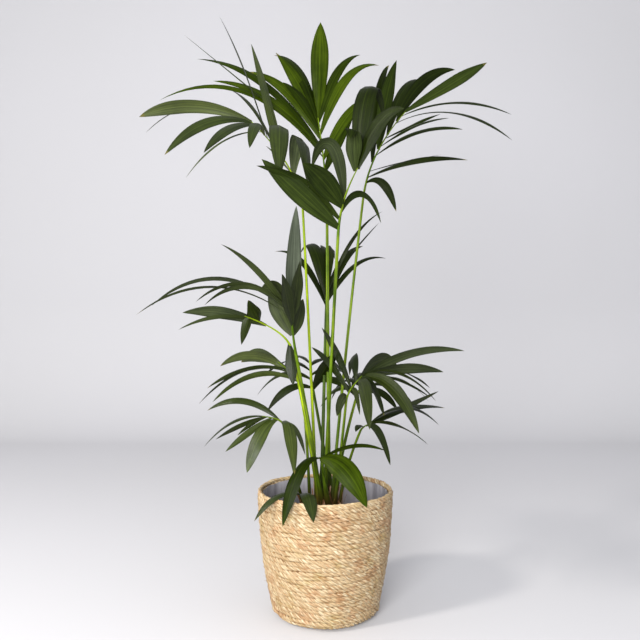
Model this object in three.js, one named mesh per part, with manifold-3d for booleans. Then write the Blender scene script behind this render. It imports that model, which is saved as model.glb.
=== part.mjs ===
// Kentia palm in a basket: five young stems in one basket carry fifteen feather-shaped fronds.
// Millimetres, +Z up. The basket stands on z = 0 with its axis on the Z axis, and the viewer is at -Y.
import * as THREE from "three";
import { mergeVertices } from "three/addons/utils/BufferGeometryUtils.js";
import Module from "manifold-3d";

// Driving dimensions of the basket
const BASKET_HEIGHT = 245;
const BASKET_TOP_RADIUS = 135.5;
const BASKET_FOOT_RADIUS = 104;
const BASKET_BELLY = 7.5;
const BASKET_WALL = 9.5;
const BASKET_FLOOR = 9;
const FOOT_ROUND = 20;
const ROPE_TURNS = 30;
const ROPE_GROOVE = 1.4;
const ROUND_SIDES = 28;

// Film liner and soil
const LINER_THICK = 1.2;
const LINER_BELOW_RIM = 7;
const SOIL_TOP = 185;
const SOIL_GAP = 1.5;
const CLEAR = 0.3;

// Stems, stalks and blades
const STEM_SIDES = 12;
const STEM_TAPER = 0.86;
const STALK_SIDES = 6;
const STALK_STEPS = 7;
const STALK_RADIUS = 3.9;
const COLLAR_RADIUS = 2.9;
const RIB_STEPS = 5;
const RIB_TIP_SHARE = 0.45;
const LEAF_STEPS = 6;
const LEAF_THICK_SHARE = 1 / 90;
const LEAF_LEAST_THICK = 1.9;
const LEAF_BASE_SHARE = 0.22;
const LEAF_BROADEST_AT = 0.5;
const LEAF_POINT_POWER = 0.8;
const LEAF_ROOF = 0.1;
const PROBE = 0.4;
const LIFT_TRIES = [0, 5, -5, 10, -10, 15, -15, 20, -20, 25, -25, 30, -30];

const UP = new THREE.Vector3(0, 0, 1);
const wasm = await Module();
wasm.setup();

// Stems: where each stands in the soil, its radius at the foot and the height of its top
const STEMS = {
  stem_left: { at: [-34, -15], radius: 17, top: 215 },
  stem_middle: { at: [-13, 14], radius: 13, top: 222 },
  stem_front: { at: [-2, -22], radius: 15, top: 215 },
  stem_back: { at: [14, 27], radius: 14, top: 232 },
  stem_right: { at: [22, -4], radius: 14, top: 215 },
};

// Fronds. foot is where the stalk leaves its stem, collar where the leaflets begin, tip the end of the
// rib. rise is how upright the stalk starts, arch how far the rib keeps the stalk's direction, and face
// the compass way the frond leans (0 is +X, 90 is +Y). Each side lists its leaflets from collar to tip:
// at on the rib, open away from it, lift out of the blade, reach and broad in mm, sag by weight, full for
// the share of its length where it is broadest, and turn about that length, with the angles in degrees.
const FRONDS = {
  crown_back: {
    stem: "stem_back", foot: [8, 26], collar: [4, 52, 798], tip: [-15, 80, 1007], rise: 0.62, arch: 0.4,
    face: 90,
    left: {
      at: [0.63, 0.68, 0.71, 0.74, 0.8, 0.88, 0.92, 0.96], open: [31, 30, 26, 47, 20, 22, 16, 8],
      lift: [17, 14, 9, 14, 14, 40, 27, 45], reach: [398, 285, 350, 362, 225, 128, 187, 197],
      sag: [1.15, 0.8, 0.8, 0, 0.8, 0.7, 0.5, 0.95], broad: [14, 22, 20, 10, 25, 26, 28, 28],
      turn: [15, 10, 15, 50, -5, -10, -10, -10],
    },
    right: {
      at: [0.48, 0.61, 0.85, 0.96, 1], open: [25, 27, 24, 22, 10], lift: [-5, 0, 12, 10, 12],
      reach: [158, 195, 225, 198, 220], sag: [0.35, 0.8, 1, 0.9, 0], broad: [24, 24, 22, 22, 39],
      full: [0.5, 0.5, 0.5, 0.5, 0.63], turn: [-5, -5, 0, -5, 5],
    },
  },
  crown_front: {
    stem: "stem_front", foot: [-2, -14], collar: [24, -70, 745], tip: [57, -150, 852], rise: 0.45,
    arch: 0.45, face: -90,
    left: {
      at: [0.32, 0.98, 1], open: [20, 61, 46], lift: [55, 97, 85], reach: [130, 240, 140],
      sag: [2.3, 1.4, 1], broad: [18, 42, 30], turn: [-30, 40, 45],
    },
    right: {
      at: [0.08, 0.22, 0.41, 0.55, 0.95], open: [54, 47, 43, 44, 56], lift: [-15, -2, -22, 65, 75],
      reach: [194, 193, 140, 170, 100], sag: [0, 0.7, 0.4, 1.5, 1.3], broad: [38, 28, 42, 24, 38],
      turn: [-5, -25, 0, 50, 20],
    },
  },
  crown_right: {
    stem: "stem_right", foot: [12, -4], collar: [77, 25, 828], tip: [167, 60, 1014], rise: 0.42,
    arch: 0.45, face: 15,
    left: {
      at: [0.4, 0.55, 0.72, 0.88, 1], open: [18, 20, 19, 14, 18], lift: [80, 87, 80, 102, -120],
      reach: [262, 245, 190, 190, 212], sag: [0.9, 0.6, 1, 0.9, 0], broad: [24, 32, 22, 26, 26],
      full: [0.5, 0.5, 0.5, 0.5, 0.65], turn: [20, 10, -25, -5, 15],
    },
    right: {
      at: [0.17, 0.23, 0.3, 0.48, 0.58, 0.68, 0.86, 0.95], open: [59, 57, 56, 45, 45, 46, 56, 39],
      lift: [-22, -43, -62, -24, -21, -33, -21, -34], reach: [118, 211, 149, 195, 158, 122, 273, 230],
      sag: [3, 0.6, 0.2, 0.8, 0.6, 0.2, 1.2, 0.9], broad: [17, 16, 12, 16, 16, 16, 12, 12],
      turn: [0, -20, -60, -10, -15, -20, -25, -10],
    },
  },
  crown_left: {
    stem: "stem_middle", foot: [-17, 8], collar: [-44, -15, 798], tip: [-143, -40, 965], rise: 0.45,
    arch: 0.4, face: 185,
    left: {
      at: [0.41, 0.67, 0.86, 0.9, 0.97, 0.99], open: [32, 39, 43, 42, 57, 31],
      lift: [68, 64, 28, -90, -38, -60], reach: [204, 190, 123, 183, 157, 202],
      sag: [2.4, 2.9, 2.5, 1.6, 1.2, 1.5], broad: [36, 38, 22, 12, 20, 22], turn: [-5, 0, 0, 65, 10, 5],
    },
    right: {
      at: [0.43, 0.63, 0.74, 0.82, 0.99, 1], open: [43, 35, 35, 33, 21, 18],
      lift: [0, 43, 33, 54, -5, -55], reach: [127, 292, 230, 308, 254, 228],
      sag: [0.3, 0.2, 0.7, 0.4, 1.3, 0.85], broad: [16, 24, 14, 10, 12, 28],
      full: [0.5, 0.35, 0.5, 0.4, 0.5, 0.65], turn: [0, -10, -10, 30, -25, 0],
    },
  },
  middle_back: {
    stem: "stem_middle", foot: [-8, 22], collar: [2, 60, 597], tip: [9, 110, 692], rise: 0.5, arch: 0.45,
    face: 90,
    left: {
      at: [0.13, 0.26, 0.48], open: [21, 10, 10], lift: [5, 14, 60], reach: [187, 212, 176],
      sag: [1, 1.2, 1.2], broad: [16, 30, 22], turn: [25, -15, -35],
    },
    right: {
      at: [0.17, 0.26, 0.37, 0.48, 0.6], open: [23, 14, 28, 11, 33], lift: [10, 20, 55, 95, 22],
      reach: [183, 165, 215, 170, 185], sag: [1, 0.9, 0.8, 1.3, 0.2], broad: [14, 22, 10, 20, 8],
      turn: [-20, 0, 20, -50, -20],
    },
  },
  middle_left: {
    stem: "stem_front", foot: [-12, -16], collar: [-63, -95, 524], tip: [-143, -170, 587], rise: 0.4,
    arch: 0.3, face: 195,
    left: {
      at: [0.18, 0.72, 0.95], open: [135, 29, 91], lift: [-45, -178, -95], reach: [78, 162, 50],
      sag: [0.5, 0.9, 0.6], broad: [22, 12, 18], full: [0.5, 0.5, 0.2], turn: [60, -45, 10],
    },
    right: {
      at: [0.82, 0.72], open: [44, 39], lift: [67, 1], reach: [44, 156], sag: [0, 0.55], broad: [38, 26],
      full: [0.25, 0.5], turn: [0, 50],
    },
  },
  middle_front: {
    stem: "stem_front", foot: [-6, -26], collar: [-54, -130, 516], tip: [-62, -170, 606], rise: 0.45,
    arch: 0.4, face: -90,
    left: {
      at: [0.46, 0.78, 1], open: [56, 17, 39], lift: [71, 48, 84], reach: [78, 104, 187], sag: 0,
      broad: [26, 30, 30], full: [0.5, 0.45, 0.33], turn: [-30, 0, -60],
    },
    right: {
      at: [0.46, 0.65, 0.8, 0.83, 0.86, 0.88, 0.9, 0.86], open: [39, 19, 58, 41, 58, 45, 47, 38],
      lift: [56, -80, 27, 64, 37, 29, 31, 36], reach: [105, 120, 318, 96, 315, 195, 180, 178],
      sag: [0, 0, 1.2, 1.2, 1.25, 1.35, 1.4, 0.6], broad: [42, 30, 8, 36, 12, 13, 13, 16],
      full: [0.5, 0.5, 0.5, 0.5, 0.4, 0.45, 0.45, 0.3], turn: [35, -25, -30, 30, -25, -15, -15, 0],
    },
  },
  low_left: {
    stem: "stem_left", foot: [-30, -4], collar: [-44, -40, 444], tip: [-91, -60, 500], rise: 0.3,
    arch: 0.3, face: 180,
    left: {
      at: [0.29, 0.59, 0.75], open: [27, 19, 30], lift: [-84, -63, -111], reach: [190, 210, 165],
      sag: [1.4, 1.4, 0.95], broad: [13, 10, 12], turn: [-15, -60, -15],
    },
    right: {
      at: [0.66, 0.86], open: [27, 45], lift: [-5, 3], reach: [163, 122], sag: [1.2, 1.1],
      broad: [22, 30], turn: [45, 45],
    },
  },
  low_front_left: {
    stem: "stem_left", foot: [-42, -14], collar: [-78, -100, 385], tip: [-117, -120, 404], rise: 0.6,
    arch: 0.3, face: 190,
    left: {
      at: [0.07, 0.1, 0.53, 0.71, 0.84, 0.84], open: [116, 42, 31, 40, 27, 24],
      lift: [120, 32, -46, -85, -117, -82], reach: [93, 141, 120, 106, 104, 67],
      sag: [3.2, 3.2, 3, 0.3, 0.4, 0.6], broad: [12, 24, 26, 13, 12, 9], turn: [-15, 35, 20, 0, -5, -30],
    },
    right: {
      at: [0.38, 0.72], open: [34, 23], lift: [24, 2], reach: [155, 145], sag: [1.2, 1.5],
      broad: [16, 10], turn: [-35, -25],
    },
  },
  basket_front: {
    stem: "stem_front", foot: [6, -27], collar: [-7, -60, 308], tip: [-12, -75, 320], rise: 0.6,
    arch: 0.3, face: -90,
    left: {
      at: [0.7, 0.85], open: [94, 76], lift: [33, -4], reach: [136, 138], sag: [0.95, 2.4],
      broad: [16, 46], full: [0.5, 0.38], turn: [0, 70],
    },
    right: {
      at: 0.9, open: 26, lift: 4, reach: 163, sag: 4, broad: 26, turn: -35,
    },
  },
  basket_left: {
    stem: "stem_left", foot: [-29, -26], collar: [-39, -70, 243], tip: [-43, -78, 249], rise: 0.6,
    arch: 0.3, face: -90,
    left: {
      at: 1, open: 38, lift: 3, reach: 104, sag: 1.9, broad: 28, turn: 0,
    },
    right: {
      at: 1, open: 36, lift: 21, reach: 114, sag: 1.9, broad: 16, turn: -40,
    },
  },
  right_front: {
    stem: "stem_right", foot: [18, -14], collar: [39, -60, 423], tip: [67, -110, 477], rise: 0.55,
    arch: 0.3, face: -20,
    left: {
      at: [0.37, 0.54, 0.75, 0.9, 0.97, 1], open: [77, 82, 75, 81, 50, 67],
      lift: [68, 62, 54, 22, -2, -16], reach: [130, 155, 132, 140, 203, 163],
      sag: [0.5, 0.4, 1.75, 1.2, 0.72, 0.55], broad: [16, 14, 22, 30, 20, 28],
      full: [0.5, 0.5, 0.5, 0.5, 0.38, 0.5], turn: [10, 40, 20, -45, -45, -25],
    },
    right: {
      at: [0.17, 0.54, 0.88, 0.95, 0.98, 1, 1], open: [44, 34, 33, 23, 46, 42, 58],
      lift: [38, -28, -17, -117, -74, -159, -141], reach: [55, 82, 157, 172, 95, 154, 134],
      sag: [3.6, 1.9, 1.6, 2.2, 1.7, 1.5, 0.8], broad: [20, 14, 28, 26, 22, 13, 11],
      turn: [55, 0, -5, -45, 5, -10, 0],
    },
  },
  right_low: {
    stem: "stem_right", foot: [28, 3], collar: [67, -40, 364], tip: [83, -60, 381], rise: 0.3, arch: 0.3,
    face: 0,
    left: {
      at: [0.76, 1, 1], open: [67, 56, 47], lift: [-18, -4, 18], reach: [173, 160, 155],
      sag: [0, 0.7, 1.5], broad: [20, 22, 18], turn: [-35, 30, 0],
    },
    right: {
      at: [0.53, 0.86, 1], open: [52, 19, 29], lift: [62, -25, -134], reach: [41, 112, 125],
      sag: [1.5, 2.1, 0.95], broad: [14, 20, 22], turn: [-20, 25, 0],
    },
  },
  back_low: {
    stem: "stem_back", foot: [12, 36], collar: [-24, 76, 428], tip: [-34, 150, 486], rise: 0.5, arch: 0.3,
    face: 100,
    left: {
      at: [0.15, 0.45, 0.75, 1], open: [62, 50, 36, 20], lift: [10, 15, 15, 10],
      reach: [120, 150, 160, 150], sag: [2, 1.8, 1.4, 1.2], broad: [18, 22, 22, 24], turn: 0,
    },
    right: {
      at: [0.1, 0.3, 0.6, 0.9], open: [70, 66, 48, 30], lift: [75, 20, 15, 10],
      reach: [135, 120, 160, 165], sag: [0.3, 1.8, 1.6, 1.2], broad: [26, 20, 22, 24],
      turn: [60, 0, 0, 0],
    },
  },
  back_right: {
    stem: "stem_back", foot: [21, 31], collar: [68, 98, 418], tip: [112, 158, 462], rise: 0.35, arch: 0.3,
    face: 50,
    left: {
      at: [0.15, 0.4, 0.65, 1], open: [64, 52, 40, 22], lift: [20, 15, 15, 10],
      reach: [130, 165, 170, 160], sag: [1.8, 1.6, 1.4, 1.2], broad: [18, 22, 22, 24], turn: 0,
    },
    right: {
      at: [0.1, 0.35, 0.6, 0.9], open: [60, 50, 40, 26], lift: [15, 10, 10, 5],
      reach: [110, 140, 165, 165], sag: [1.8, 1.8, 1.6, 1.2], broad: [18, 20, 22, 24], turn: 0,
    },
  },
};

const rad = THREE.MathUtils.degToRad;

// The value of a short list at a share of its length, or the number itself.
function along(list, share) {
  if (!Array.isArray(list)) return list;
  const place = share * (list.length - 1);
  const low = Math.min(Math.floor(place), list.length - 2);
  return list.length < 2 ? list[0] : list[low] + (list[low + 1] - list[low]) * (place - low);
}

function material(color, roughness) {
  return new THREE.MeshStandardMaterial({ color, roughness, metalness: 0 });
}

const seagrass = () => material(0xc9a877, 0.85);
const film = () => material(0x9b98a0, 0.45);
const soil = () => material(0x3b2a20, 0.95);
const sheath = () => material(0x6b4a30, 0.8);
const stalkGreen = () => material(0x8ea53a, 0.45);
const leafGreen = () => material(0x2f4a1c, 0.4);

// A closed solid from rings of equal length: a flat cap at its start, a cap or a point at its end.
function loft(rings, point) {
  const count = rings[0].length;
  const position = rings.flat().concat(point || []).flatMap((p) => [p.x, p.y, p.z]);
  const last = (rings.length - 1) * count;
  const index = [];
  for (let i = 0; i < count; i += 1) {
    const next = (i + 1) % count;
    for (let start = 0; start < last; start += count) {
      const a = start + i;
      const b = start + next;
      index.push(a, b, b + count, a, b + count, a + count);
    }
    if (point) index.push(last + i, last + next, last + count);
  }
  for (let i = 1; i + 1 < count; i += 1) {
    index.push(0, i + 1, i);
    if (!point) index.push(last, last + i, last + i + 1);
  }
  const geometry = new THREE.BufferGeometry();
  geometry.setAttribute("position", new THREE.Float32BufferAttribute(position, 3));
  geometry.setIndex(index);
  return geometry;
}

function asSolid(geometry) {
  const bare = geometry.clone();
  bare.deleteAttribute("normal");
  bare.deleteAttribute("uv");
  const merged = mergeVertices(bare, 1e-3);
  const mesh = new wasm.Mesh({
    numProp: 3,
    vertProperties: merged.attributes.position.array,
    triVerts: new Uint32Array(merged.index.array),
  });
  return new wasm.Manifold(mesh);
}

function asGeometry(body) {
  const mesh = body.getMesh();
  const geometry = new THREE.BufferGeometry();
  geometry.setAttribute("position", new THREE.Float32BufferAttribute(mesh.vertProperties, 3));
  geometry.setIndex(new THREE.Uint32BufferAttribute(mesh.triVerts, 1));
  return geometry;
}

function named(name, geometry, look) {
  geometry.computeVertexNormals();
  const mesh = new THREE.Mesh(geometry, look);
  mesh.name = name;
  return mesh;
}

// A ring round a point, square to the direction of travel.
function ring(centre, tangent, side, radius, sides) {
  const across = new THREE.Vector3().crossVectors(tangent, side);
  return Array.from({ length: sides }, (_, i) => {
    const angle = (2 * Math.PI * i) / sides;
    return centre
      .clone()
      .addScaledVector(side, radius * Math.cos(angle))
      .addScaledVector(across, radius * Math.sin(angle));
  });
}

// Radius of the basket's wall at a height: a straight taper that bulges a little, over a rounded foot.
function basketRadius(z) {
  const share = z / BASKET_HEIGHT;
  const straight = BASKET_FOOT_RADIUS + (BASKET_TOP_RADIUS - BASKET_FOOT_RADIUS) * share;
  const below = Math.max(FOOT_ROUND - z, 0);
  const inset = FOOT_ROUND - Math.sqrt(FOOT_ROUND ** 2 - below ** 2);
  return straight + BASKET_BELLY * Math.sin(Math.PI * share) - inset;
}

function turned(profile, sides = ROUND_SIDES) {
  const points = profile.map(([radius, z]) => new THREE.Vector2(radius, z));
  return new THREE.LatheGeometry(points, sides).rotateX(Math.PI / 2);
}

function basket() {
  const turn = BASKET_HEIGHT / ROPE_TURNS;
  const profile = [[0, 0], [basketRadius(0), 0]];
  for (let i = 0; i < ROPE_TURNS; i += 1) {
    profile.push([basketRadius((i + 0.5) * turn), (i + 0.5) * turn]);
    const groove = (i + 1) * turn;
    if (i + 1 < ROPE_TURNS) profile.push([basketRadius(groove) - ROPE_GROOVE, groove]);
  }
  profile.push([BASKET_TOP_RADIUS - BASKET_WALL / 2, BASKET_HEIGHT]);
  for (const share of [0.98, 0.75, 0.5, 0.25]) {
    profile.push([basketRadius(share * BASKET_HEIGHT) - BASKET_WALL, share * BASKET_HEIGHT]);
  }
  for (const z of [FOOT_ROUND, BASKET_FLOOR]) {
    profile.push([basketRadius(z) - BASKET_WALL, z]);
  }
  profile.push([0, BASKET_FLOOR]);
  return turned(profile);
}

// Inner radius of the space that the liner leaves at a height.
function lined(z, gap) {
  return basketRadius(z) - BASKET_WALL - gap;
}

// Film cup that lines the basket.
function liner() {
  const top = BASKET_HEIGHT - LINER_BELOW_RIM;
  const low = BASKET_FLOOR + CLEAR;
  const heights = [low, FOOT_ROUND, top * 0.25, top * 0.5, top * 0.75, top];
  const outer = heights.map((z) => [lined(z, CLEAR), z]);
  const inner = heights.map((z) => [lined(z, CLEAR + LINER_THICK), Math.max(z, low + LINER_THICK)]);
  return turned([[0, low], ...outer, ...inner.reverse(), [0, low + LINER_THICK]]);
}

// Root ball: fills the liner up to the soil's surface.
function soilPlug() {
  const gap = LINER_THICK + SOIL_GAP;
  const low = BASKET_FLOOR + gap;
  const heights = [low, FOOT_ROUND, SOIL_TOP * 0.35, SOIL_TOP * 0.7, SOIL_TOP];
  return turned([[0, low], ...heights.map((z) => [lined(z, gap), z]), [0, SOIL_TOP]]);
}

function stem({ at, radius, top }) {
  const low = SOIL_TOP + CLEAR;
  const levels = [[low, radius], [(low + top) / 2, radius * 0.97], [top, radius * STEM_TAPER]];
  const side = new THREE.Vector3(1, 0, 0);
  const rings = levels.map(([z, size]) => {
    const centre = new THREE.Vector3(at[0], at[1], z);
    return ring(centre, UP, side, size, STEM_SIDES);
  });
  return loft(rings);
}

// The two curves of a frond: the stalk from the stem to the collar, and the rib from there to the tip.
function curves({ stem: carrier, foot, collar, tip, rise, arch }) {
  const start = new THREE.Vector3(foot[0], foot[1], STEMS[carrier].top + CLEAR);
  const neck = new THREE.Vector3(...collar);
  const end = new THREE.Vector3(...tip);
  const span = neck.clone().sub(start);
  const knee = start.clone().add(new THREE.Vector3(span.x * rise, span.y * rise, span.z * 0.5));
  const onward = neck.clone().sub(knee).normalize();
  const crest = neck.clone().addScaledVector(onward, arch * end.distanceTo(neck));
  return {
    stalk: new THREE.QuadraticBezierCurve3(start, knee, neck),
    rib: new THREE.QuadraticBezierCurve3(neck, crest, end),
  };
}

// A tapering rod along a curve, between two shares of it.
function rod(curve, from, to, radiusAt, steps) {
  const rings = [];
  for (let i = 0; i <= steps; i += 1) {
    const share = from + ((to - from) * i) / steps;
    const tangent = i === 0 && from === 0 && curve.foot ? UP : curve.getTangent(share);
    const side = new THREE.Vector3(1, 0, 0).addScaledVector(tangent, -tangent.x).normalize();
    rings.push(ring(curve.getPoint(share), tangent, side, radiusAt(share), STALK_SIDES));
  }
  return loft(rings);
}

function stalk(curve) {
  const radiusAt = (share) => STALK_RADIUS + (COLLAR_RADIUS - STALK_RADIUS) * share;
  curve.foot = true;
  return rod(curve, 0, 1, radiusAt, STALK_STEPS);
}

function rib(curve) {
  const radiusAt = (share) => COLLAR_RADIUS * (1 + (RIB_TIP_SHARE - 1) * share);
  return rod(curve, CLEAR / curve.getLength(), 1, radiusAt, RIB_STEPS);
}

// Share of a leaflet's broadest width along its length: narrow at the rib, full at one place, pointed.
function widthShare(share, full) {
  if (share < full) {
    return LEAF_BASE_SHARE + (1 - LEAF_BASE_SHARE) * Math.sin((Math.PI / 2) * (share / full));
  }
  return Math.cos(((Math.PI / 2) * (share - full)) / (1 - full)) ** LEAF_POINT_POWER;
}

// A leaflet: it leaves the rib at its own angles, bends down under its weight and ends in a point.
function leaflet(curve, face, hand, leaf, grow = 0) {
  const tangent = curve.getTangent(leaf.at);
  const lean = rad(face);
  const level = new THREE.Vector3(-Math.sin(lean), Math.cos(lean), 0);
  const across = level.addScaledVector(tangent, -level.dot(tangent)).normalize();
  const upper = new THREE.Vector3().crossVectors(tangent, across);
  const outward = across.multiplyScalar(hand * Math.cos(rad(leaf.lift)));
  outward.addScaledVector(upper, Math.sin(rad(leaf.lift)));
  const open = rad(leaf.open);
  const start = tangent.clone().multiplyScalar(Math.cos(open)).addScaledVector(outward, Math.sin(open));
  const blade = tangent.clone().multiplyScalar(-Math.sin(open)).addScaledVector(outward, Math.cos(open));
  const heading = (share) => start.clone().addScaledVector(UP, -leaf.sag * share).normalize();
  const thick = Math.max(LEAF_LEAST_THICK, leaf.reach * LEAF_THICK_SHARE) + 2 * grow;
  const centre = curve.getPoint(leaf.at);
  const twist = new THREE.Quaternion();
  let before = start.clone();
  const rings = [];
  for (let i = 0; i < LEAF_STEPS; i += 1) {
    const direction = heading(i / LEAF_STEPS);
    blade.applyQuaternion(twist.setFromUnitVectors(before, direction));
    before = direction;
    const broad = blade.clone().applyAxisAngle(direction, rad(leaf.turn));
    const proud = new THREE.Vector3().crossVectors(direction, broad);
    const half = (leaf.broad / 2) * widthShare(i / LEAF_STEPS, leaf.full ?? LEAF_BROADEST_AT) + grow;
    const ridge = proud.clone().multiplyScalar((thick / 2) * (1 - (0.5 * i) / LEAF_STEPS));
    const drop = proud.clone().multiplyScalar(-LEAF_ROOF * half);
    rings.push([
      centre.clone().addScaledVector(broad, half).add(drop),
      centre.clone().add(ridge),
      centre.clone().addScaledVector(broad, -half).add(drop),
      centre.clone().sub(ridge),
    ]);
    centre.addScaledVector(heading((i + 0.5) / LEAF_STEPS), leaf.reach / LEAF_STEPS);
  }
  return loft(rings, centre);
}

// The leaflets of one side, each as its own set of values.
function leavesOf(side) {
  const values = Object.entries(side);
  const count = Array.isArray(side.at) ? side.at.length : 1;
  return Array.from({ length: count }, (_, i) => {
    const share = count > 1 ? i / (count - 1) : 0;
    return Object.fromEntries(values.map(([key, list]) => [key, along(list, share)]));
  });
}

const meets = (body, others) => others.some((other) => !body.intersect(other).isEmpty());

// A leaflet in the first free direction near its own, or nothing where every one is taken.
function placed(curve, face, hand, leaf, taken) {
  for (const change of LIFT_TRIES) {
    const moved = { ...leaf, lift: leaf.lift + change };
    if (!meets(asSolid(leaflet(curve, face, hand, moved, PROBE)), taken)) {
      return asSolid(leaflet(curve, face, hand, moved));
    }
  }
  return null;
}

function plant() {
  const group = new THREE.Group();
  const solids = { basket: basket(), liner: liner(), soil: soilPlug() };
  const looks = { basket: seagrass(), liner: film(), soil: soil() };
  const fixed = [];
  const put = (name, geometry, look) => {
    group.add(named(name, geometry, look));
  };
  for (const [name, geometry] of Object.entries(solids)) {
    put(name, geometry, looks[name]);
    fixed.push(asSolid(geometry));
  }
  for (const [name, values] of Object.entries(STEMS)) {
    const geometry = stem(values);
    put(name, geometry, sheath());
    fixed.push(asSolid(geometry));
  }
  const ribs = {};
  for (const [name, frond] of Object.entries(FRONDS)) {
    const lines = curves(frond);
    const geometry = stalk(lines.stalk);
    put(`petiole_${name}`, geometry, stalkGreen());
    fixed.push(asSolid(geometry));
    ribs[name] = { curve: lines.rib, body: asSolid(rib(lines.rib)) };
  }
  const grown = [];
  for (const [name, frond] of Object.entries(FRONDS)) {
    const { curve, body } = ribs[name];
    const otherRibs = Object.keys(ribs).filter((key) => key !== name).map((key) => ribs[key].body);
    const taken = [...fixed, ...otherRibs, ...grown];
    const own = [];
    for (const [side, hand] of [["left", 1], ["right", -1]]) {
      for (const leaf of leavesOf(frond[side])) {
        const blade = placed(curve, frond.face, hand, leaf, taken);
        if (blade) own.push(blade);
      }
    }
    grown.push(...own);
    put(`frond_${name}`, asGeometry(wasm.Manifold.union([body, ...own])), leafGreen());
  }
  return group;
}

export default plant();
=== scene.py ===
# Kentia palm in a basket of wound seagrass rope, dressed over its solids. Metres, +Z up, viewer at -Y.
import math
import random

import bpy
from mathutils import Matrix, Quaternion, Vector, noise


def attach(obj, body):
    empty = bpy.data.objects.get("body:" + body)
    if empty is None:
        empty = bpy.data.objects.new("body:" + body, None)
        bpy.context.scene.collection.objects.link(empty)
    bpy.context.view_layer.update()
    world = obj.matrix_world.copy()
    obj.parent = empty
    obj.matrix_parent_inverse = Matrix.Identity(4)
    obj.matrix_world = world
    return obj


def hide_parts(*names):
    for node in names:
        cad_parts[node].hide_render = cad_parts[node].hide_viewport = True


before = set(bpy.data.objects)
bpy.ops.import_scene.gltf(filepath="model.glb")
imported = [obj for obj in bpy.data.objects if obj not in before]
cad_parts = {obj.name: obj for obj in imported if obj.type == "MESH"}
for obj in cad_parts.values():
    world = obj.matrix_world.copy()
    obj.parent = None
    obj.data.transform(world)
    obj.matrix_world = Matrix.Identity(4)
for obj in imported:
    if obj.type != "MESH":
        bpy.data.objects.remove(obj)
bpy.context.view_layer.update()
MM = 0.001
UP = Vector((0, 0, 1))

# Basket, film and soil, in millimetres, as in the solids. The gaps are from the basket's outer wall.
BASKET_HEIGHT = 245
BASKET_TOP_RADIUS = 135.5
BASKET_FOOT_RADIUS = 104
BASKET_BELLY = 7.5
FOOT_ROUND = 20
LINER_BELOW_RIM = 7
LINER_GAP = 10.6
SOIL_TOP = 185
SOIL_GAP = 14
CLEAR = 0.3

# The coil in turns of rope from the middle of the floor, the turns where its pieces part, and how many
# points its middle line has for each turn
FLOOR_TURNS = 9.25
CORNER_TURNS = 3
WALL_TURNS = 28
ALL_TURNS = FLOOR_TURNS + CORNER_TURNS + WALL_TURNS
LOWER_FROM = 18.25
UPPER_FROM = 29.25
RIM_FROM = ALL_TURNS - 1.1
COIL_STEPS = 60

# The rope, in millimetres. The lay is one whole twist. By its slack it strays in and out, by its wander
# slowly up and down, and by its waver quickly. Swell, thinning and share are shares, and tilt is in
# radians. What stands out past PRESSED_IN behind the basket's outer wall was pressed back by its share.
ROPE_RADIUS = 4.5
ROPE_FULL_RADIUS = 5.0
ROPE_LAY = 32
ROPE_SIDES = 18
ROPE_STEPS = 14
ROPE_SLACK = 2.0
ROPE_WANDER = 4.6
ROPE_WAVER = 2.4
ROPE_SWELL = 0.34
ROPE_TILT = 2.4
END_THINNING = 0.7
PRESSED_IN = 2.2
PRESSED_SHARE = 0.45

# Stalks and leaflets, in millimetres, with the twist in degrees, the whole turn of a wave in radians,
# and depths, folds, the ripple and the dry tip as shares
STALK_RADIUS = 3.9
COLLAR_RADIUS = 2.9
FOOT_LENGTH = 75
CHANNEL_DEPTH = 0.42
RIB_TIP_SHARE = 0.35
LEAF_THICK = 0.5
LEAF_THINNING = 0.5
LEAF_RIB = 0.9
LEAF_BASE_SHARE = 0.22
LEAF_BROADEST_AT = 0.5
LEAF_POINT_POWER = 0.8
LEAF_BASE_FOLD = 0.36
LEAF_FOLD = 0.1
LEAF_FOLD_POWER = 1.15
LEAF_RIPPLE = 0.05
LEAF_WAVES = (1.2, 2.2)
LEAF_TWIST = 7
LEAF_TWIST_PACE = 5
LEAF_STEPS = 20
LEAF_LANES = 6
DRY_TIP_SHARE = 0.05
FULL_TURN = 6.28

# What a Mix node is set to where it mixes colours, and its colour output
MIXED = {"out": 2, "data_type": "RGBA"}
MULTIPLIED = {"out": 2, "data_type": "RGBA", "blend_type": "MULTIPLY"}

# Stems: where each stands in the soil, its radius at the foot and the height of its top
STEMS = {
    "stem_left": {"at": (-34, -15), "radius": 17, "top": 215},
    "stem_middle": {"at": (-13, 14), "radius": 13, "top": 222},
    "stem_front": {"at": (-2, -22), "radius": 15, "top": 215},
    "stem_back": {"at": (14, 27), "radius": 14, "top": 232},
    "stem_right": {"at": (22, -4), "radius": 14, "top": 215},
}

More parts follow.
